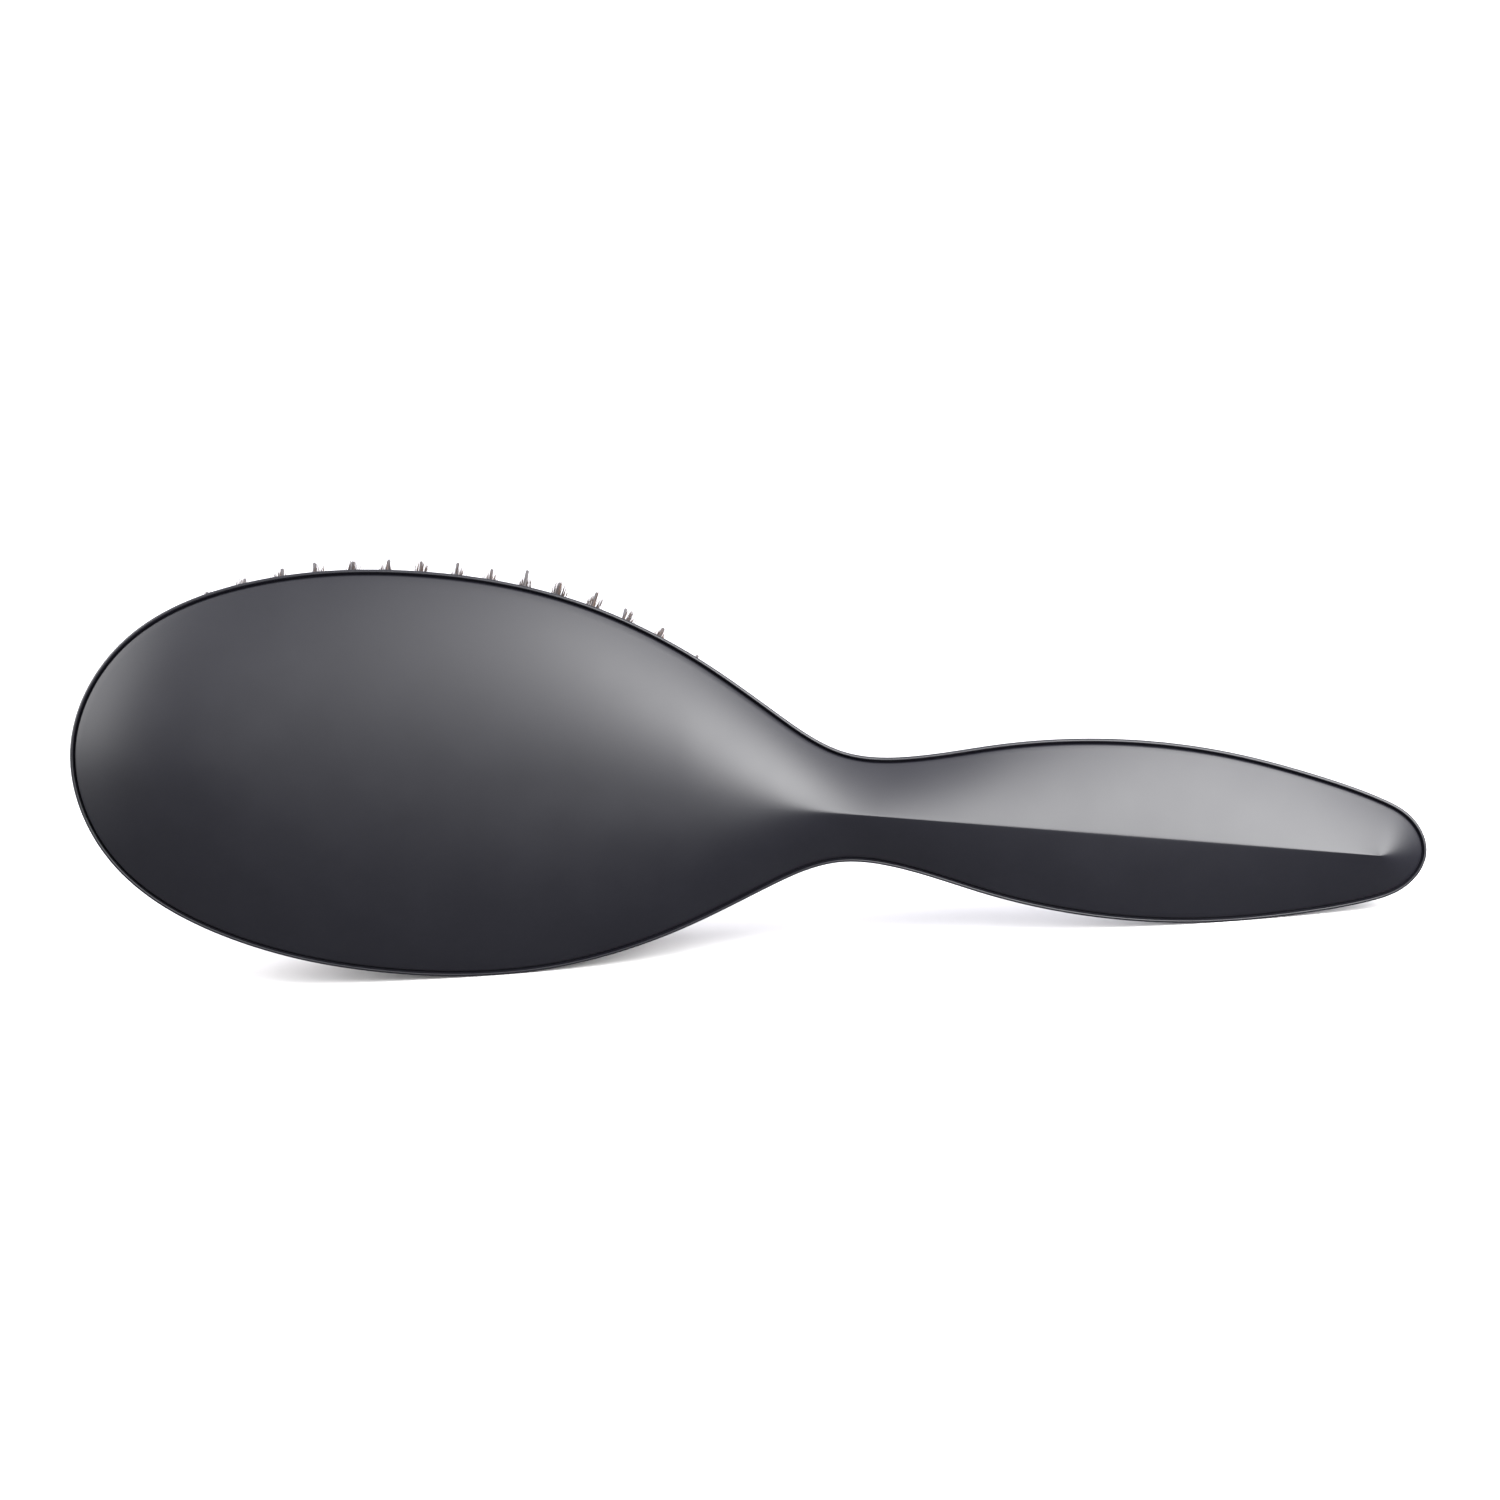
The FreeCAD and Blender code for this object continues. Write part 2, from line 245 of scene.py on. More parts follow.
@dataclass(frozen=True)
class BoarBristle(Finish):
    """Natural boar bristle: each hair keeps its own tone, dark at the root and paler at the split tip."""

    dark: str = "#0E0805"
    pale: str = "#4E3826"
    roughness: float = 0.42
    streak_mm: float = 0.8
    streak_shift: float = 0.12

    def shade(self, tree: bpy.types.NodeTree, place: bpy.types.Node) -> bpy.types.Node:
        """Mixes the hair's stored tone with streaks along it."""
        tone = add_node(tree, "ShaderNodeAttribute", {"attribute_name": HAIR_TONE}, {})
        streaks = add_node(
            tree,
            "ShaderNodeTexNoise",
            {"Scale": per_mm(self.streak_mm), "Detail": 2.0},
            {"Vector": (place, "Object")},
        )
        shift = add_node(
            tree,
            "ShaderNodeMapRange",
            {
                "From Min": NOISE_LOW,
                "From Max": NOISE_HIGH,
                "To Min": -self.streak_shift,
                "To Max": self.streak_shift,
            },
            {"Value": (streaks, "Fac")},
        )
        mixed = add_node(
            tree,
            "ShaderNodeMath",
            {"operation": "ADD", "use_clamp": True},
            {0: (tone, "Fac"), 1: (shift, "Result")},
        )
        colour = add_node(
            tree,
            "ShaderNodeMix",
            {"data_type": "RGBA", 6: linear(self.dark), 7: linear(self.pale)},
            {"Factor": (mixed, "Value")},
        )
        return add_node(
            tree,
            "ShaderNodeBsdfPrincipled",
            {"Roughness": self.roughness, "IOR": 1.55},
            {"Base Color": (colour, 2)},
        )


@dataclass(frozen=True)
class NylonFilament(Finish):
    """Drawn nylon: a smoky grey filament that lets some light through."""

    body: str = "#4E4A47"
    deep: str = "#2C2927"
    roughness: float = 0.28
    transmission: float = 0.2
    draw_mm: float = 1.5

    def shade(self, tree: bpy.types.NodeTree, place: bpy.types.Node) -> bpy.types.Node:
        """Adds the slight smokiness of drawn filament."""
        smoke = add_node(
            tree,
            "ShaderNodeTexNoise",
            {"Scale": per_mm(self.draw_mm), "Detail": 3.0},
            {"Vector": (place, "Object")},
        )
        colour = add_node(
            tree,
            "ShaderNodeMix",
            {"data_type": "RGBA", 6: linear(self.deep), 7: linear(self.body)},
            {"Factor": (smoke, "Fac")},
        )
        return add_node(
            tree,
            "ShaderNodeBsdfPrincipled",
            {"Roughness": self.roughness, "IOR": 1.53, "Transmission Weight": self.transmission},
            {"Base Color": (colour, 2)},
        )


@dataclass(frozen=True)
class InnerPolypropylene(Finish):
    """Unpolished moulded polypropylene of the inner pieces: dark grey, waxy and a little cloudy."""

    body: str = "#333436"
    cloud: str = "#3E3F41"
    roughness: float = 0.5
    roughness_spread: float = 0.08
    cloud_mm: float = 5.0

    def shade(self, tree: bpy.types.NodeTree, place: bpy.types.Node) -> bpy.types.Node:
        """Adds the flow clouds and the gloss that follows them."""
        clouds = add_node(
            tree,
            "ShaderNodeTexNoise",
            {"Scale": per_mm(self.cloud_mm), "Detail": 4.0},
            {"Vector": (place, "Object")},
        )
        colour = add_node(
            tree,
            "ShaderNodeMix",
            {"data_type": "RGBA", 6: linear(self.body), 7: linear(self.cloud)},
            {"Factor": (clouds, "Fac")},
        )
        gloss = add_node(
            tree,
            "ShaderNodeMapRange",
            {
                "To Min": self.roughness - self.roughness_spread,
                "To Max": self.roughness + self.roughness_spread,
            },
            {"Value": (clouds, "Fac")},
        )
        return add_node(
            tree,
            "ShaderNodeBsdfPrincipled",
            {"IOR": 1.49},
            {"Base Color": (colour, 2), "Roughness": (gloss, "Result")},
        )


@dataclass(frozen=True)
class StudioPaper(Finish):
    """White background paper: matt and without shine, with painted shade that makes it a little greyer near
    the brush to hold its shadow.
    """

    white: str = "#F6F5F4"
    shadow: str = "#F3F2F0"
    fibre_mm: float = 2.0
    near: float = 0.2
    far: float = 0.7
    painted_shade_share: float = 0.62

    def shade(self, tree: bpy.types.NodeTree, place: bpy.types.Node) -> bpy.types.Node:
        """Adds the paper's faint fibre, and painted shade that greys the paper near the brush."""
        fibre = add_node(
            tree,
            "ShaderNodeTexNoise",
            {"Scale": per_mm(self.fibre_mm), "Detail": 2.0},
            {"Vector": (place, "Object")},
        )
        colour = add_node(
            tree,
            "ShaderNodeMix",
            {"data_type": "RGBA", 6: linear(self.white), 7: linear(self.shadow)},
            {"Factor": (fibre, "Fac")},
        )
        # Painted shade: the paper's colour is scaled down near the brush, and fades back to full at the far
        # distance from the middle.
        away = add_node(tree, "ShaderNodeVectorMath", {"operation": "LENGTH"}, {0: (place, "Object")})
        share = add_node(
            tree,
            "ShaderNodeMapRange",
            {
                "interpolation_type": "SMOOTHSTEP",
                "From Min": self.near,
                "From Max": self.far,
                "To Min": self.painted_shade_share,
                "To Max": 1.0,
            },
            {"Value": (away, "Value")},
        )
        shown = add_node(
            tree,
            "ShaderNodeVectorMath",
            {"operation": "SCALE"},
            {0: (colour, 2), "Scale": (share, "Result")},
        )
        return add_node(
            tree,
            "ShaderNodeBsdfPrincipled",
            {"Roughness": 0.95, "Specular IOR Level": 0.0},
            {"Base Color": (shown, "Vector")},
        )


HAIR_TONE = "hair_tone"
SHELL_FINISH = SatinAbs("satin moulded ABS")
RUBBER_FINISH = CushionRubber("brick red cushion rubber")
BRISTLE_FINISH = BoarBristle("boar bristle")
NYLON_FINISH = NylonFilament("smoky nylon filament")
INNER_FINISH = InnerPolypropylene("inner polypropylene")
PAPER_FINISH = StudioPaper("white studio paper")


# ---- Bench axes and outline ----


@dataclass(frozen=True)
class Bench:
    """The brush's own axes and where they lie in the frame."""

    turn: np.ndarray
    shift: np.ndarray

    @classmethod
    def from_frame(cls, record: dict, pad_centre_x: float, plate_middle_z: float) -> "Bench":
        """Finds the bench axes from the press direction and the chamber plate.

        Args:
            record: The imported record, whose press joint runs along the back's normal.
            pad_centre_x: The cushion's middle along the brush, in millimetres.
            plate_middle_z: The height of the middle of the chamber plate, in millimetres.

        Returns:
            The bench, which turns and shifts points into the frame.
        """
        joints = record["behaviour"]["joints"]
        normal = np.array(next(j["axis"] for j in joints if j["name"] == PRESS_JOINT), dtype=float)
        normal /= np.linalg.norm(normal)
        slope = math.atan2(normal[0], normal[2])
        along = np.array((math.cos(slope), 0.0, -math.sin(slope)))
        across = np.cross(normal, along)
        turn = np.column_stack((along, across, normal))
        low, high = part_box("chamber_plate")
        middle = (np.array(low) + np.array(high)) / 2
        shift = middle - turn @ (np.array((pad_centre_x, 0.0, plate_middle_z)) * MM)
        return cls(turn, shift)

    def place(self, points: np.ndarray) -> np.ndarray:
        """Turns bench points in millimetres into frame points in metres."""
        return (points * MM) @ self.turn.T + self.shift


@dataclass
class Outline:
    """The widest border of the brush: one smooth closed curve, alike on both sides of the axis."""

    length: float = 232.7
    stations: tuple[tuple[float, float], ...] = (
        (7.4, 18.5),
        (28.2, 30.7),
        (57.0, 34.9),
        (83.8, 32.1),
        (106.0, 23.5),
        (120.0, 15.2),
        (132.0, 9.6),
        (143.0, 9.8),
        (158.0, 13.1),
        (176.0, 15.5),
        (196.0, 15.0),
        (213.0, 12.0),
        (224.0, 9.0),
        (229.5, 6.2),
    )
    head_inset: float = 26.0
    head_fade: float = 30.0
    end_inset: float = 9.0
    end_fade: float = 10.0
    samples: int = 380
    points: np.ndarray = field(init=False)
    knots: np.ndarray = field(init=False)
    bends: np.ndarray = field(init=False)

    def __post_init__(self) -> None:
        """Fits a closed cubic spline through the stations and their mirror images."""
        half = [(0.0, 0.0), *self.stations, (self.length, 0.0)]
        other = [(x, -y) for x, y in half[-2:0:-1]]
        self.points = np.array(half + other)
        ahead = np.roll(self.points, -1, axis=0)
        spans = np.linalg.norm(ahead - self.points, axis=1)
        self.knots = np.concatenate(([0.0], np.cumsum(spans)))
        count = len(self.points)
        matrix = np.zeros((count, count))
        pull = np.zeros((count, 2))
        for i in range(count):
            before, after = spans[i - 1], spans[i]
            matrix[i, i - 1] += before
            matrix[i, i] += 2 * (before + after)
            matrix[i, (i + 1) % count] += after
            leaving = (ahead[i] - self.points[i]) / after
            arriving = (self.points[i] - self.points[i - 1]) / before
            pull[i] = 6 * (leaving - arriving)
        self.bends = np.linalg.solve(matrix, pull)

    def at(self, share: np.ndarray, inset: np.ndarray | float = 0.0) -> np.ndarray:
        """Points of the half outline.

        Args:
            share: Where along it, 0 at the head's tip and 1 at the handle's end.
            inset: How far inside the border, in millimetres.

        Returns:
            One x and y to each share.
        """
        place = np.clip(share, 0.0, 1.0) * self.knots[-1] / 2
        i = np.clip(np.searchsorted(self.knots, place, side="right") - 1, 0, len(self.points) - 1)
        span = self.knots[i + 1] - self.knots[i]
        a = ((self.knots[i + 1] - place) / span)[:, None]
        b = 1 - a
        here, there = self.points[i], np.roll(self.points, -1, axis=0)[i]
        bend_here, bend_there = self.bends[i], np.roll(self.bends, -1, axis=0)[i]
        width = span[:, None]
        found = a * here + b * there + ((a**3 - a) * bend_here + (b**3 - b) * bend_there) * width**2 / 6
        rate = (there - here) / width + ((3 * b**2 - 1) * bend_there - (3 * a**2 - 1) * bend_here) * width / 6
        rate /= np.linalg.norm(rate, axis=1)[:, None]
        inward = np.column_stack((rate[:, 1], -rate[:, 0])) * np.broadcast_to(inset, share.shape)[:, None]
        found = found + inward
        found[(share <= 0) | (share >= 1), 1] = 0.0
        return found

    def shares(self) -> np.ndarray:
        """Even steps along the half outline."""
        return np.linspace(0.0, 1.0, self.samples)

    def spine(self) -> np.ndarray:
        """Where the section through each sample meets the axis."""
        x = self.at(self.shares())[:, 0]
        from_head = self.head_inset * np.exp(-x / self.head_fade)
        from_end = self.end_inset * np.exp(-(self.length - x) / self.end_fade)
        return x + from_head - from_end


def smooth_step(value: np.ndarray, start: float, end: float) -> np.ndarray:
    """Goes smoothly from 0 at start to 1 at end."""
    share = np.clip((value - start) / (end - start), 0.0, 1.0)
    return share * share * (3.0 - 2.0 * share)


# ---- Meshes ----


def mesh_piece(
    name: str, points: np.ndarray, faces: np.ndarray | list, finish: Finish, weld: float = 0.0
) -> bpy.types.Object:
    """Makes a smooth-shaded piece of the brush.

    Args:
        name: The piece's name.
        points: Its corners in the frame, in metres.
        faces: Corner numbers of its faces.
        finish: What it is made of.
        weld: Corners nearer than this, in metres, become one.

    Returns:
        The new object.
    """
    mesh = bpy.data.meshes.new(name)
    mesh.from_pydata(points.tolist(), [], faces if isinstance(faces, list) else faces.tolist())
    if weld > 0:
        work = bmesh.new()
        work.from_mesh(mesh)
        bmesh.ops.remove_doubles(work, verts=work.verts, dist=weld)
        bmesh.ops.dissolve_degenerate(work, edges=work.edges, dist=weld)
        bmesh.ops.recalc_face_normals(work, faces=work.faces)
        work.to_mesh(mesh)
        work.free()
    mesh.polygons.foreach_set("use_smooth", np.ones(len(mesh.polygons), dtype=bool))
    mesh.materials.append(finish.material())
    piece = bpy.data.objects.new(name, mesh)
    bpy.context.scene.collection.objects.link(piece)
    return piece


def ring_faces(rings: int, around: int) -> np.ndarray:
    """Quads between closed rings of points that are stored ring after ring.

    Args:
        rings: How many rings.
        around: How many points each has.

    Returns:
        Four corner numbers to each face.
    """
    ring = np.arange(rings - 1)[:, None] * around
    here = np.arange(around)[None, :]
    there = (here + 1) % around
    corners = np.stack((ring + here, ring + there, ring + around + there, ring + around + here), axis=-1)
    return corners.reshape(-1, 4)


def both_sides(half: np.ndarray) -> np.ndarray:
    """Closes a half ring, given from the head's tip to the handle's end, with its mirror image."""
    other = half[-2:0:-1] * np.array((1.0, -1.0, 1.0))
    return np.vstack((half, other))


@dataclass
class Shell:
    """What the two moulded shells share: the outline and the bench they are laid out on."""

    bench: Bench
    outline: Outline
    lip_width: float = 0.5
    groove_width: float = 0.4
    groove_depth: float = 0.6

    def ring(self, inset: np.ndarray | float, height: np.ndarray | float) -> np.ndarray:
        """A half ring that follows the border at an inset, at one height or at a height to each sample."""
        flat = self.outline.at(self.outline.shares(), inset)
        return np.column_stack((flat, np.broadcast_to(height, len(flat))))

    def section_ring(self, inset: float, scale: np.ndarray | float, height: np.ndarray) -> np.ndarray:
        """A half ring part of the way from the spine to the border at an inset."""
        flat = self.outline.at(self.outline.shares(), inset)
        spine = self.outline.spine()
        middle = np.column_stack((spine, np.zeros_like(spine)))
        share = np.broadcast_to(scale, spine.shape)[:, None]
        return np.column_stack((middle + (flat - middle) * share, height))

    def section_width(self, inset: float) -> np.ndarray:
        """The length of each section, from the spine to the border at an inset."""
        flat = self.outline.at(self.outline.shares(), inset)
        return np.hypot(flat[:, 0] - self.outline.spine(), flat[:, 1])

    def piece_of(self, name: str, halves: list[np.ndarray], finish: Finish, slot: Slot) -> bpy.types.Object:
        """Joins half rings into one closed piece."""
        rings = np.stack([both_sides(half) for half in halves])
        faces = ring_faces(len(rings), rings.shape[1])
        points = self.bench.place(rings.reshape(-1, 3))
        return mesh_piece(name, points, faces, finish, WELD)


@dataclass
class BackShell(Shell):
    """The lid that shows: a domed head and two handle facets that meet in a crease."""

    head_crown: float = 7.0
    ridge_height: float = 5.6
    dome_power: float = 2.2
    facet_bulge: float = 0.28
    crease_start: float = 104.0
    crease_end: float = 138.0
    crease_softness: float = 0.012
    crease_fade: float = 0.5
    crease_fade_power: float = 1.5
    wall: float = 2.0
    edge_radius: float = 0.5
    edge_steps: int = 6
    across_steps: int = 46
    across_crowding: float = 1.6

    def crown(self) -> np.ndarray:
        """The height of the back's middle line at each sample."""
        step = smooth_step(self.outline.spine(), self.crease_start, self.crease_end)
        return self.head_crown + (self.ridge_height - self.head_crown) * step

    def profile(self, across: np.ndarray | float) -> np.ndarray:
        """The share of the crown's height at a share of the way out to the border."""
        crease = smooth_step(self.outline.spine(), self.crease_start, self.crease_end)
        dome = 1.0 - np.power(across, self.dome_power)
        softness = self.crease_softness + self.crease_fade * (1.0 - crease) ** self.crease_fade_power
        soft = np.sqrt(np.square(across) + softness**2) - softness
        soft = soft / (np.sqrt(1.0 + softness**2) - softness)
        facet = (1.0 - soft) * (1.0 + self.facet_bulge * soft)
        return dome + (facet - dome) * crease

    def edge_slope(self, seat: float) -> np.ndarray:
        """The angle at which the back comes down to its border at each sample."""
        near = 0.98
        drop = self.crown() * (self.profile(near) - self.profile(1.0))
        return np.arctan(drop / (self.section_width(seat) * (1.0 - near)))

    def build(self) -> bpy.types.Object:
        """Builds the lid with its rounded edge and its hollow underside."""
        seat = self.lip_width + self.groove_width
        radius = self.edge_radius
        slope = self.edge_slope(seat)
        width = self.section_width(seat)
        out_end = 1.0 - radius * (1.0 - np.sin(slope)) / width
        halves = []
        for step in np.linspace(0.0, 1.0, self.across_steps) ** self.across_crowding:
            across = out_end * step
            halves.append(self.section_ring(seat, across, self.crown() * self.profile(across)))
        start = self.crown() * self.profile(out_end)
        for step in np.linspace(0.0, 1.0, self.edge_steps)[1:]:
            angle = slope + (math.pi / 2 - slope) * step
            height = start - radius * (np.cos(slope) - np.cos(angle))
            halves.append(self.ring(seat + radius * (1.0 - np.sin(angle)), height))
        halves.append(self.ring(seat, -self.groove_depth))
        halves.append(self.ring(seat + self.wall, -self.groove_depth))
        hollow = self.crown() - self.wall
        for step in np.linspace(1.0, 0.0, self.across_steps // 2):
            halves.append(self.section_ring(seat + self.wall, step, hollow * self.profile(step)))
        piece = self.piece_of("back_shell_satin", halves, SHELL_FINISH, Slot.SHELL)
        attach(piece, "root")
        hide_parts("back_shell")
        return piece


@dataclass
class Pad:
    """The plan of the cushion: a superellipse, with rings inside it at an even distance from its edge."""

    centre_x: float = 59.5
    half_length: float = 51.5
    half_width: float = 29.8
    power: float = 2.3
    front_z: float = -8.9
    dome_height: float = 6.4
    dome_fall: float = 2.6
    edge_gap: float = 0.3

    def ring(self, inset: float, angles: np.ndarray) -> np.ndarray:
        """Plan points at an inset from the opening's edge."""
        turn_x, turn_y = np.cos(angles), np.sin(angles)
        reach = (np.abs(turn_x) ** self.power + np.abs(turn_y) ** self.power) ** (-1.0 / self.power)
        x = self.centre_x + (self.half_length - inset) * turn_x * reach
        return np.column_stack((x, (self.half_width - inset) * turn_y * reach))

    def rise(self, inset: float) -> float:
        """How far the dome stands out of its edge at an inset."""
        full = 1.0 - (1.0 - inset / self.half_width) ** self.dome_fall
        edge = 1.0 - (1.0 - self.edge_gap / self.half_width) ** self.dome_fall
        return self.dome_height * (full - edge)

    def slope(self, inset: float) -> float:
        """The dome's slope at an inset, in radians."""
        rate = self.dome_height * self.dome_fall / self.half_width
        return math.atan(rate * (1.0 - inset / self.half_width) ** (self.dome_fall - 1.0))


@dataclass
class FrontShell(Shell):
    """The tray: a thin outer lip, a ledge for the lid, tapered walls and a flat rim round the cushion."""

    pad: Pad = field(default_factory=Pad)
    head_depth: float = 10.5
    head_hull: float = 12.3
    handle_hull: float = 10.3
    head_power: float = 9.0
    handle_power: float = 2.2
    change_start: float = 96.0
    change_end: float = 150.0
    taper: float = 10.0
    side_wall: float = 1.6
    rim_thickness: float = 1.6
    ledge_inset: float = 3.4
    ledge_depth: float = 3.0
    lip_radius: float = 0.36
    rim_radius: float = 0.5
    around_steps: int = 46
    lip_steps: int = 6
    inner_lip_steps: int = 4
    inside_start: float = 0.15
    cutter_flare: float = 0.2
    cutter_reach: float = 2.0
    cutter_skin: float = 0.02
    cutter_depth: float = 1.5
    cutter_around: int = 480

    def hull_ring(self, inset: float, thinner: float, floor: float, angle: float) -> np.ndarray:
        """A half ring of the tray's round under side.

        Args:
            inset: How far inside the border it starts.
            thinner: How much less deep it is than the outside.
            floor: The depth at which its flat front is cut, with a rounded edge.
            angle: Where on the section, 0 at the border and a right angle at the spine.

        Returns:
            One point to each sample.
        """
        change = smooth_step(self.outline.spine(), self.change_start, self.change_end)
        depth = self.head_hull + (self.handle_hull - self.head_hull) * change - thinner
        power = self.head_power * (self.handle_power / self.head_power) ** change
        side, down = math.cos(angle), math.sin(angle)
        reach = (max(side, 0.0) ** power + down**power) ** (-1.0 / power)
        low = depth * down * reach
        taper = math.tan(math.radians(self.taper))
        scale = max(side, 0.0) * reach * (1.0 - low * taper / self.section_width(inset))
        soft = self.rim_radius * 0.5
        cut = 0.5 * (low + floor - np.sqrt((low - floor) ** 2 + soft**2))
        return self.section_ring(inset, scale, -cut)

    def halves(self) -> list[np.ndarray]:
        """Half rings from the outside's spine, round the lip and back to the inside's spine."""
        quarter = math.pi / 2
        made = [
            self.hull_ring(0.0, 0.0, self.head_depth, quarter * (1.0 - step))
            for step in np.linspace(0.0, 1.0, self.around_steps)[:-1]
        ]
        radius = self.lip_radius
        for angle in np.linspace(0.0, quarter, self.lip_steps):
            made.append(self.ring(radius * (1.0 - math.cos(angle)), -radius * (1.0 - math.sin(angle))))
        inner = self.lip_width - radius
        for angle in np.linspace(0.0, quarter, self.inner_lip_steps)[1:]:
            made.append(self.ring(radius + inner * math.sin(angle), -inner * (1.0 - math.cos(angle))))
        made.append(self.ring(self.lip_width, -self.groove_depth))
        made.append(self.ring(self.ledge_inset, -self.groove_depth))
        made.append(self.ring(self.ledge_inset, -self.ledge_depth))
        inside = self.head_depth - self.rim_thickness
        for step in np.linspace(self.inside_start, 1.0, self.around_steps // 2):
            made.append(self.hull_ring(self.side_wall, self.side_wall, inside, quarter * step))
        return made

    def opening(self) -> bpy.types.Object:
        """The cutter for the cushion's opening, flared at its front so that the rim's edge is rounded."""
        angles = np.linspace(0.0, 2 * math.pi, self.cutter_around, endpoint=False)
        radius = self.rim_radius
        rim = -self.head_depth
        flare = radius + self.cutter_flare
        steps = [(flare, rim - self.cutter_reach), (flare, rim - self.cutter_skin)]
        for angle in np.linspace(0.0, math.pi / 2, self.lip_steps):
            steps.append((radius * (1.0 - math.sin(angle)), rim + radius * (1.0 - math.cos(angle))))
        steps.append((0.0, rim + self.rim_thickness + self.cutter_depth))
        rings = [np.column_stack((self.pad.ring(-out, angles), np.full(len(angles), z))) for out, z in steps]
        faces = ring_faces(len(rings), len(angles)).tolist()
        last = (len(rings) - 1) * len(angles)
        faces.append(list(range(len(angles))))
        faces.append(list(range(last, last + len(angles)))[::-1])
        points = self.bench.place(np.vstack(rings))
        return mesh_piece("opening_cutter", points, faces, SHELL_FINISH, WELD)

    def build(self) -> bpy.types.Object:
        """Builds the tray and cuts the cushion's opening out of its rim."""
        piece = self.piece_of("front_shell_satin", self.halves(), SHELL_FINISH, Slot.SHELL)
        cutter = self.opening()
        cut = piece.modifiers.new("opening", "BOOLEAN")
        cut.operation = "DIFFERENCE"
        cut.solver = "EXACT"
        cut.object = cutter
        bake_modifiers(piece)
        bpy.data.objects.remove(cutter)
        piece.data.polygons.foreach_set("use_smooth", np.ones(len(piece.data.polygons), dtype=bool))
        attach(piece, "root")
        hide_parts("front_shell")
        return piece


def bake_modifiers(piece: bpy.types.Object) -> None:
    """Replaces a piece's mesh with the one its modifiers give."""
    scene = bpy.context.evaluated_depsgraph_get()
    final = bpy.data.meshes.new_from_object(piece.evaluated_get(scene), depsgraph=scene)
    piece.modifiers.clear()
    piece.data = final


# ---- Cushion and tufts ----


@dataclass
class TuftPlan:
    """Where the tufts of one ring stand and which way each leans."""

    pad: Pad
    ring: int
    count: int
    first_inset: float = 3.6
    spacing: float = 5.6
    splay_share: float = 0.85
    fine: int = 720

    @property
    def inset(self) -> float:
        """How far the ring lies inside the cushion's edge."""
        return self.first_inset + self.spacing * self.ring

    def roots(self) -> tuple[np.ndarray, np.ndarray]:
        """Finds the roots at even steps round the ring.

        Returns:
            The root points on the dome, and the unit directions from root to tip, on the bench.
        """
        angles = np.linspace(0.0, 2 * math.pi, self.fine + 1)
        line = self.pad.ring(self.inset, angles)
        steps = np.diff(line, axis=0)
        lengths = np.linalg.norm(steps, axis=1)
        run = np.concatenate(([0.0], np.cumsum(lengths)))
        wanted = run[-1] * (np.arange(self.count) + 0.5 * (self.ring % 2)) / self.count
        at = np.clip(np.searchsorted(run, wanted, side="right") - 1, 0, self.fine - 1)
        along = steps[at] / lengths[at][:, None]
        flat = line[at] + along * (wanted - run[at])[:, None]
        height = np.full(self.count, self.pad.front_z - self.pad.rise(self.inset))
        splay = self.splay_share * self.pad.slope(self.inset)
        outward = np.column_stack((along[:, 1], -along[:, 0])) * math.sin(splay)
        lean = np.column_stack((outward, np.full(self.count, -math.cos(splay))))
        return np.column_stack((flat, height)), lean


@dataclass
class Cushion:
    """The rubber diaphragm: a dome with a soft collar round each tuft."""

    bench: Bench
    pad: Pad
    plans: list[TuftPlan]
    rubber: float = 1.5
    flange: float = 1.4
    flange_width: float = 0.8
    ring_step: float = 0.4
    around: int = 620
    collar_height: float = 0.45
    collar_radius: float = 1.75
    collar_spread: float = 0.45
    hole_depth: float = 0.8
    hole_radius: float = 1.0

    def relief(self, flat: np.ndarray) -> np.ndarray:
        """How far the skin stands proud or dips at each plan point, for the collars and holes."""
        found = np.zeros(len(flat))
        for plan in self.plans:
            roots = plan.roots()[0]
            for root in roots:
                reach = np.hypot(flat[:, 0] - root[0], flat[:, 1] - root[1])
                near = reach < 4 * self.collar_radius
                off_ridge = (reach[near] - self.collar_radius) / self.collar_spread
                collar = self.collar_height * np.exp(-(off_ridge**2))
                hole = self.hole_depth * np.exp(-((reach[near] / self.hole_radius) ** 4))
                found[near] += collar - hole
        return found

    def build(self) -> bpy.types.Object:
        """Builds the closed skin, front and back, with its flange."""
        angles = np.linspace(0.0, 2 * math.pi, self.around, endpoint=False)
        middle = self.pad.half_width
        count = int(middle / self.ring_step)
        rings = []

        def add(inset: float, height: float, lifted: bool) -> None:
            """Adds one ring, with the collars on it if it is on the front."""
            flat = self.pad.ring(inset, angles)
            lift = self.relief(flat) if lifted else np.zeros(len(flat))
            rings.append(np.column_stack((flat, height - lift)))

        front = self.pad.front_z
        add(-self.flange_width, front + self.flange, False)
        add(-self.flange_width, front, False)
        for inset in np.linspace(self.pad.edge_gap, middle, count):
            add(inset, front - self.pad.rise(inset), True)
        for inset in np.linspace(middle, self.pad.edge_gap + self.rubber, count // 3):
            add(inset, front + self.rubber - self.pad.rise(inset), False)
        add(self.pad.edge_gap + self.rubber, front + self.flange, False)
        add(-self.flange_width, front + self.flange, False)
        stack = np.stack(rings)
        points = self.bench.place(stack.reshape(-1, 3))
        faces = ring_faces(len(rings), self.around)
        piece = mesh_piece("cushion_rubber", points, faces, RUBBER_FINISH, WELD)
        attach(piece, "root")
        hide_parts("cushion")
        anchor = self.bench.place(np.array([[self.pad.centre_x, 0.0, front]]))[0]
        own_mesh(piece)
        return piece


class HairKind(Enum):
    """The tones of bristle in a tuft, as a share of the way from dark to pale, and how common each is."""

    DARK = (0.08, 0.5)
    BROWN = (0.35, 0.32)
    BLOND = (0.8, 0.18)


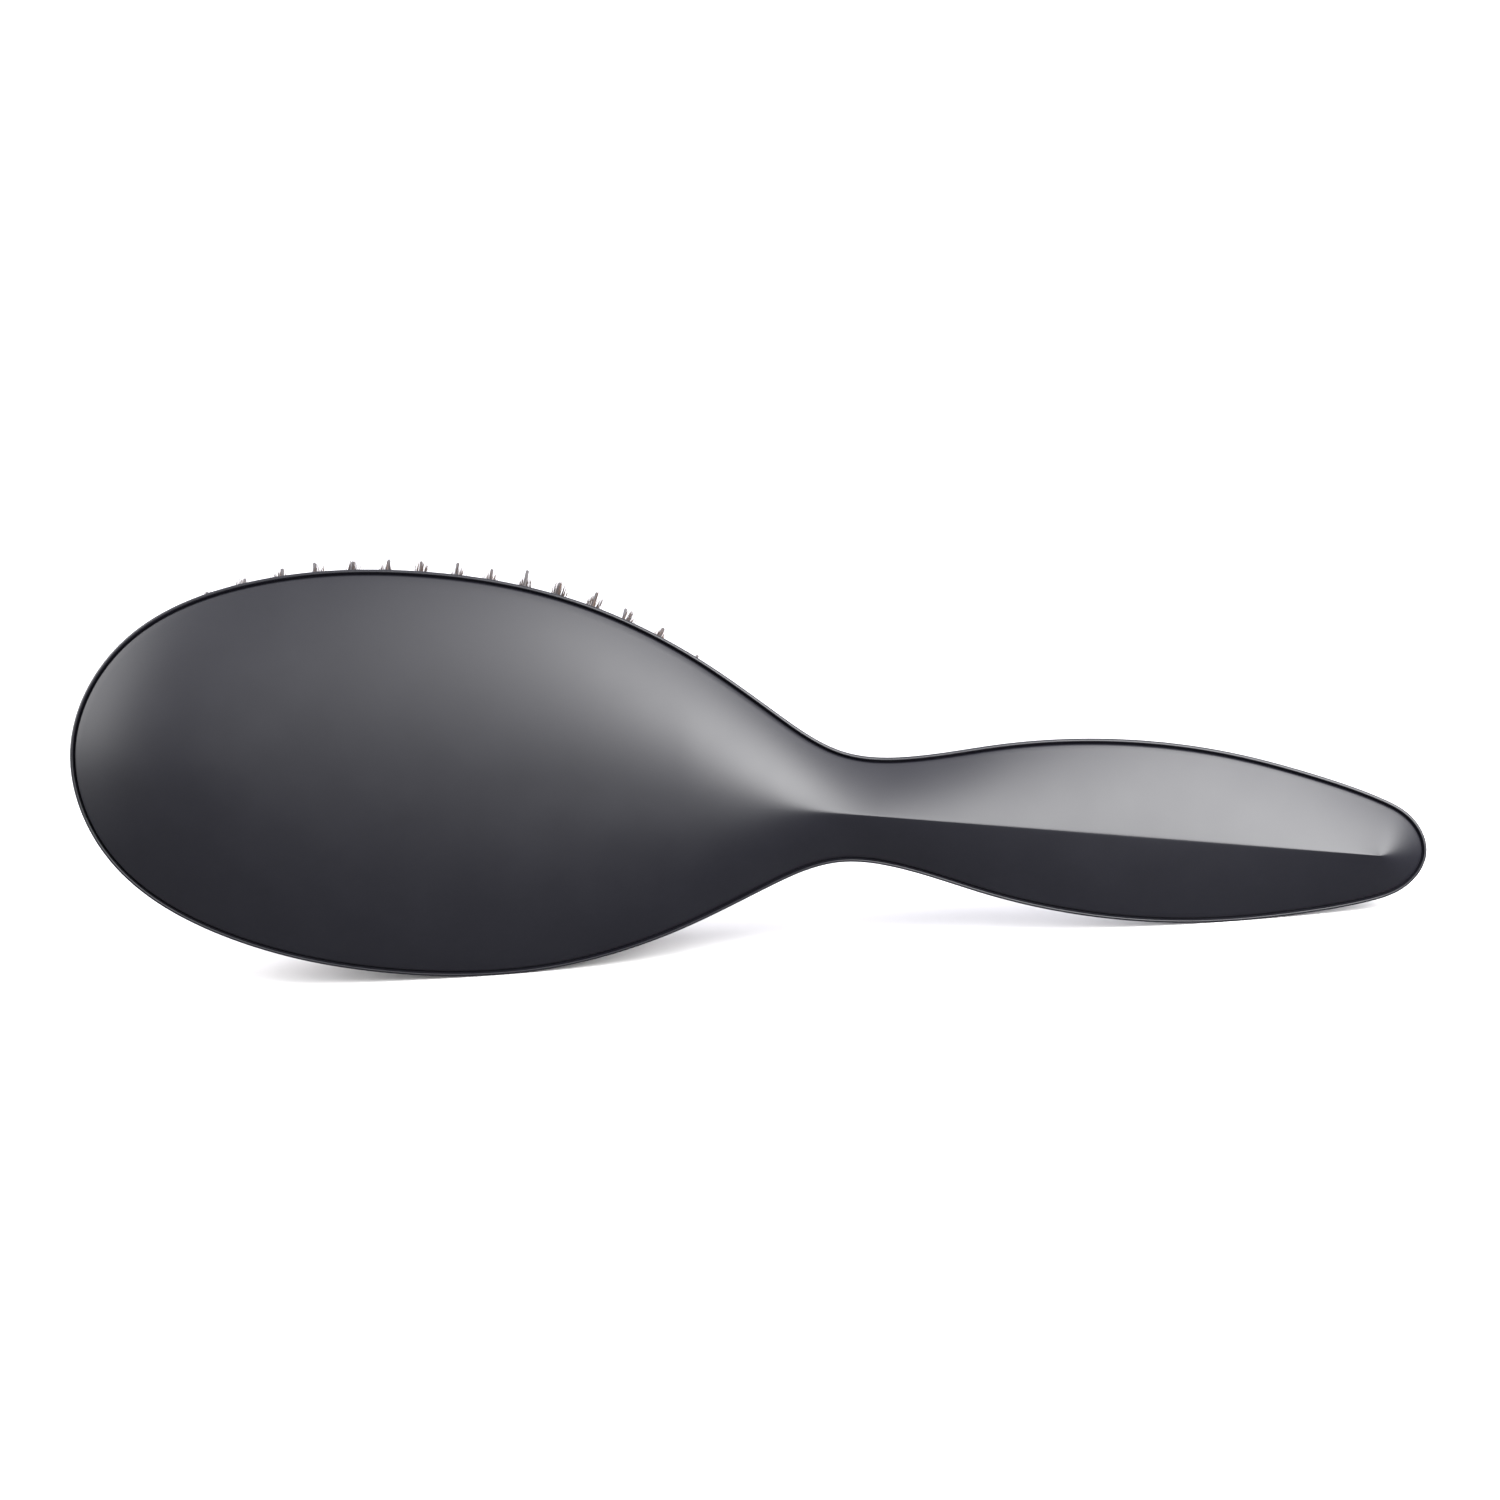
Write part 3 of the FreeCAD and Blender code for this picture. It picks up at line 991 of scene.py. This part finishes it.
@dataclass
class TuftRing:
    """One ring of tufts: fine bristles, with a nylon quill in the middle of each."""

    bench: Bench
    plan: TuftPlan
    hairs: int = 56
    length: float = 18.5
    root_radius: float = 0.95
    tip_radius: float = 1.45
    hair_root: float = 0.11
    hair_tip: float = 0.045
    hair_sides: int = 3
    hair_rings: int = 6
    hair_spread: tuple[float, float] = (0.8, 1.2)
    hair_end: float = 0.25
    clump: tuple[float, float] = (0.75, 1.15)
    tuft_sway: float = 0.35
    middle_reach: float = 1.03
    edge_fall: float = 0.09
    uneven: float = 0.12
    stray_share: float = 0.06
    stray_spread: float = 1.7
    bow: float = 0.5
    bow_spread: float = 0.5
    start: float = -0.9
    tone_spread: float = 0.05
    tip_paleness: float = 0.18
    quill_radius: float = 0.3
    quill_extra: float = 1.1
    quill_sides: int = 8
    quill_steps: int = 7
    quill_run: tuple[float, ...] = (-2.0, 6.0, 12.0)
    quill_end: float = 0.04
    quill_sway: float = 0.3
    quill_shortest: float = 0.95

    @property
    def number(self) -> int:
        """The ring's number in the frame's names, counted from the outside."""
        return self.plan.ring + 1

    def directions(self) -> tuple[np.ndarray, np.ndarray, np.ndarray, np.ndarray]:
        """The root, the direction and two side directions of each tuft."""
        roots, leans = self.plan.roots()
        helper = np.tile((1.0, 0.0, 0.0), (len(leans), 1))
        side = np.cross(leans, helper)
        side /= np.linalg.norm(side, axis=1)[:, None]
        return roots, leans, side, np.cross(leans, side)

    def tubes(
        self, centres: np.ndarray, radii: np.ndarray, side: np.ndarray, other: np.ndarray, sides: int
    ) -> tuple[np.ndarray, np.ndarray]:
        """Wraps thin tubes round centre lines.

        Args:
            centres: Points by tube and step along it.
            radii: A radius to each of them.
            side: A unit direction across each tube.
            other: The second direction across it.
            sides: How many sides a tube has.

        Returns:
            The corners and the faces of all tubes.
        """
        tubes, steps = radii.shape
        turn = 2 * math.pi * np.arange(sides) / sides
        across = (
            np.cos(turn)[None, None, :, None] * side[:, None, None, :]
            + np.sin(turn)[None, None, :, None] * other[:, None, None, :]
        )
        points = centres[:, :, None, :] + radii[:, :, None, None] * across
        one = ring_faces(steps, sides)
        offsets = (np.arange(tubes) * steps * sides)[:, None, None]
        return points.reshape(-1, 3), (one[None] + offsets).reshape(-1, 4)

    def bristles(self, random: np.random.Generator) -> bpy.types.Object:
        """Builds the natural bristle of every tuft in the ring."""
        roots, leans, side, other = self.directions()
        tufts, hairs, steps = len(roots), self.hairs, self.hair_rings
        shape = (tufts, hairs)
        turn = random.uniform(0.0, 2 * math.pi, shape)
        out = np.sqrt(random.uniform(0.0, 1.0, shape))
        clump = random.uniform(*self.clump, (tufts, 1))
        sway = random.normal(0.0, self.tuft_sway, (tufts, 1, 2))
        uneven = self.uneven * random.uniform(0.0, 1.0, shape) ** 2
        reach = self.length * (self.middle_reach - self.edge_fall * out**2 - uneven)
        along = np.linspace(0.0, 1.0, steps)
        stray = np.where(random.uniform(0.0, 1.0, shape) < self.stray_share, self.stray_spread, 1.0)
        spread = self.root_radius + (self.tip_radius * clump - self.root_radius)[..., None] * along**1.5
        spread = spread * out[..., None] * (1.0 + (stray - 1.0)[..., None] * along**2)
        bent = random.normal(0.0, self.bow_spread, shape)[..., None]
        bow = self.bow * np.sin(math.pi * along)[None, None] * bent
        a = (spread + bow) * np.cos(turn)[..., None] + sway[..., 0:1] * along**2
        b = (spread + bow) * np.sin(turn)[..., None] + sway[..., 1:2] * along**2
        c = self.start + (reach[..., None] - self.start) * along
        centres = (
            roots[:, None, None, :]
            + a[..., None] * side[:, None, None, :]
            + b[..., None] * other[:, None, None, :]
            + c[..., None] * leans[:, None, None, :]
        )
        taper = self.hair_root + (self.hair_tip - self.hair_root) * along**2
        radii = np.broadcast_to(taper, (*shape, steps)).copy()
        radii *= random.uniform(*self.hair_spread, shape)[..., None]
        radii[..., -1] *= self.hair_end
        flat_side = np.repeat(side, hairs, axis=0)
        flat_other = np.repeat(other, hairs, axis=0)
        points, faces = self.tubes(
            centres.reshape(-1, steps, 3), radii.reshape(-1, steps), flat_side, flat_other, self.hair_sides
        )
        name = f"boar_bristles_ring_{self.number}"
        piece = mesh_piece(name, self.bench.place(points), faces, BRISTLE_FINISH)
        tones, shares = zip(*(kind.value for kind in HairKind))
        tone = random.choice(tones, size=shape, p=shares) + random.normal(0.0, self.tone_spread, shape)
        tone = tone[..., None] + self.tip_paleness * along**3
        stored = piece.data.attributes.new(HAIR_TONE, "FLOAT", "POINT")
        stored.data.foreach_set("value", np.repeat(tone.reshape(-1), self.hair_sides).astype(np.float32))
        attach(piece, f"tuft_ring_{self.number}")
        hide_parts(f"boar_tufts_ring_{self.number}")
        return piece

    def quills(self, random: np.random.Generator) -> bpy.types.Object:
        """Builds the nylon quill of every tuft in the ring, with a rounded tip."""
        roots, leans, side, other = self.directions()
        tufts = len(roots)
        radius = self.quill_radius
        dome = np.linspace(0.0, math.pi / 2, self.quill_steps)
        shoulder = self.length + self.quill_extra - radius
        run = np.concatenate((self.quill_run, shoulder + radius * np.sin(dome)))
        size = np.concatenate(([radius] * len(self.quill_run), radius * np.cos(dome)))
        size = np.maximum(size, radius * self.quill_end)
        sway = random.normal(0.0, self.quill_sway, (tufts, 2))
        share = np.clip(run / self.length, 0.0, None) ** 2
        length_share = random.uniform(self.quill_shortest, 1.0, (tufts, 1))
        c = np.where(run > 0, run * length_share, run)
        centres = (
            roots[:, None, :]
            + (sway[:, 0:1] * share)[..., None] * side[:, None, :]
            + (sway[:, 1:2] * share)[..., None] * other[:, None, :]
            + c[..., None] * leans[:, None, :]
        )
        radii = np.broadcast_to(size, (tufts, len(size)))
        points, faces = self.tubes(centres, radii, side, other, self.quill_sides)
        name = f"nylon_quill_ring_{self.number}"
        piece = mesh_piece(name, self.bench.place(points), faces, NYLON_FINISH)
        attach(piece, f"tuft_ring_{self.number}")
        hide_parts(f"nylon_quills_ring_{self.number}")
        return piece


# ---- Studio ----


def look_turn(place: Vector, aim: Vector, roll: float = 0.0) -> Matrix:
    """The turn that points a camera or a light from one place at another.

    Args:
        place: Where it stands.
        aim: What it looks at.
        roll: Its turn about the line of sight, in degrees.

    Returns:
        The rotation.
    """
    turn = (aim - place).to_track_quat("-Z", "Y").to_matrix()
    return turn @ Matrix.Rotation(math.radians(roll), 3, "Z")


def direction(azimuth: float, elevation: float) -> Vector:
    """The unit vector towards an azimuth, counted from the camera's side to the right, and an elevation."""
    side, up = math.radians(azimuth), math.radians(elevation)
    return Vector((math.sin(side) * math.cos(up), -math.cos(side) * math.cos(up), math.sin(up)))


@dataclass(frozen=True)
class SoftBox:
    """One rectangular soft light, turned to a point of the brush."""

    name: str
    azimuth: float
    elevation: float
    distance: float
    width: float
    height: float
    radiance: float
    aim: tuple[float, float, float]

    def build(self) -> None:
        """Hangs the light, with the power that gives its face the wanted radiance."""
        data = bpy.data.lights.new(self.name, "AREA")
        data.shape = "RECTANGLE"
        data.size, data.size_y = self.width, self.height
        data.energy = self.radiance * math.pi * self.width * self.height
        lamp = bpy.data.objects.new(self.name, data)
        aim = Vector(self.aim)
        place = aim + direction(self.azimuth, self.elevation) * self.distance
        lamp.matrix_world = Matrix.Translation(place) @ look_turn(place, aim).to_4x4()
        lamp.visible_camera = False
        bpy.context.scene.collection.objects.link(lamp)


@dataclass(frozen=True)
class Studio:
    """White paper, a bright tent, soft lights and the camera."""

    distance: float = 0.95
    elevation: float = 10.0
    roll: float = -4.17
    lens: float = 131.65
    sensor: float = 36.0
    aim: tuple[float, float, float] = (0.0006, 0.0, 0.0335)
    paper_size: float = 14.0
    tent_low: float = 0.38
    tent_high: float = 1.7
    tent_low_at: float = -0.25
    tent_high_at: float = 0.6
    tent_colour: str = "#F3F3FF"

    def paper(self) -> None:
        """Lays the paper. Reflections look past it, into the dimmer lower half of the tent."""
        half = self.paper_size / 2
        mesh = bpy.data.meshes.new("studio_paper")
        corners = [(-half, -half, 0.0), (half, -half, 0.0), (half, half, 0.0), (-half, half, 0.0)]
        mesh.from_pydata(corners, [], [(0, 1, 2, 3)])
        mesh.materials.append(PAPER_FINISH.material())
        paper = bpy.data.objects.new("studio_paper", mesh)
        bpy.context.scene.collection.objects.link(paper)
        paper.visible_glossy = False

    def tent(self) -> None:
        """Sets a white surround that is bright overhead and dims smoothly towards the floor."""
        world = bpy.data.worlds.new("studio tent")
        world.use_nodes = True
        tree = world.node_tree
        tree.nodes.clear()
        look = add_node(tree, "ShaderNodeTexCoord", {}, {})
        split = add_node(tree, "ShaderNodeSeparateXYZ", {}, {"Vector": (look, "Generated")})
        glow = add_node(
            tree,
            "ShaderNodeMapRange",
            {
                "interpolation_type": "SMOOTHSTEP",
                "From Min": self.tent_low_at,
                "From Max": self.tent_high_at,
                "To Min": self.tent_low,
                "To Max": self.tent_high,
            },
            {"Value": (split, "Z")},
        )
        light = add_node(
            tree, "ShaderNodeBackground", {"Color": linear(self.tent_colour)}, {"Strength": (glow, "Result")}
        )
        add_node(tree, "ShaderNodeOutputWorld", {}, {"Surface": (light, "Background")})
        bpy.context.scene.world = world
        bpy.context.scene.view_settings.view_transform = "Standard"

    def lights(self) -> None:
        """Hangs a key low and to the right of the camera, and a broad fill past the head's tip."""
        key = SoftBox(
            name="key",
            azimuth=35.0,
            elevation=20.5,
            distance=0.32,
            width=0.40,
            height=0.27,
            radiance=22.0,
            aim=(0.03, 0.0, 0.03),
        )
        fill = SoftBox(
            name="fill",
            azimuth=-85.0,
            elevation=27.0,
            distance=0.8,
            width=1.0,
            height=0.8,
            radiance=9.0,
            aim=(-0.08, 0.0, 0.03),
        )
        key.build()
        fill.build()

    def camera(self) -> None:
        """Sets up the camera that looks at the back, a little from above."""
        data = bpy.data.cameras.new("camera")
        data.lens = self.lens
        data.sensor_width = self.sensor
        eye = bpy.data.objects.new("camera", data)
        bpy.context.scene.collection.objects.link(eye)
        aim = Vector(self.aim)
        place = aim + direction(0.0, self.elevation) * self.distance
        eye.matrix_world = Matrix.Translation(place) @ look_turn(place, aim, self.roll).to_4x4()
        bpy.context.scene.camera = eye

    def build(self) -> None:
        """Sets up the whole studio."""
        self.camera()
        self.paper()
        self.tent()
        self.lights()


# ---- Assembly ----

TUFTS_IN_RING = (42, 35, 29, 23, 17)
PLATE_MIDDLE_Z = -5.5


def dress_inner_nodes() -> None:
    """Gives the pieces behind the cushion their own plastic."""
    names = ["cushion_clamp_ring", "chamber_plate"]
    names += [f"tuft_plugs_ring_{number + 1}" for number in range(len(TUFTS_IN_RING))]
    for name in names:
        slots = frame["nodes"][name].material_slots
        for slot in slots:
            slot.material = INNER_FINISH.material()
        LOG.info("dressed %s", name)


def main() -> None:
    """Builds the brush piece by piece, then the studio."""
    logging.basicConfig(level=logging.INFO, format="%(name)s: %(message)s")
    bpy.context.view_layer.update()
    random = np.random.default_rng(SEED)
    pad = Pad()
    bench = Bench.from_frame(frame["record"], pad.centre_x, PLATE_MIDDLE_Z)
    outline = Outline()
    studio = Studio()
    studio.build()
    plans = [TuftPlan(pad, ring, count) for ring, count in enumerate(TUFTS_IN_RING)]
    makers: list[Callable[[], bpy.types.Object]] = [
        BackShell(bench, outline).build,
        FrontShell(bench, outline, pad=pad).build,
        Cushion(bench, pad, plans).build,
    ]
    for make in makers:
        piece = make()
        LOG.info("made %s with %d faces", piece.name, len(piece.data.polygons))
    for plan in plans:
        ring = TuftRing(bench, plan)
        for piece in (ring.bristles(random), ring.quills(random)):
            LOG.info("made %s with %d faces", piece.name, len(piece.data.polygons))
    dress_inner_nodes()


if __name__ == "__main__":
    main()
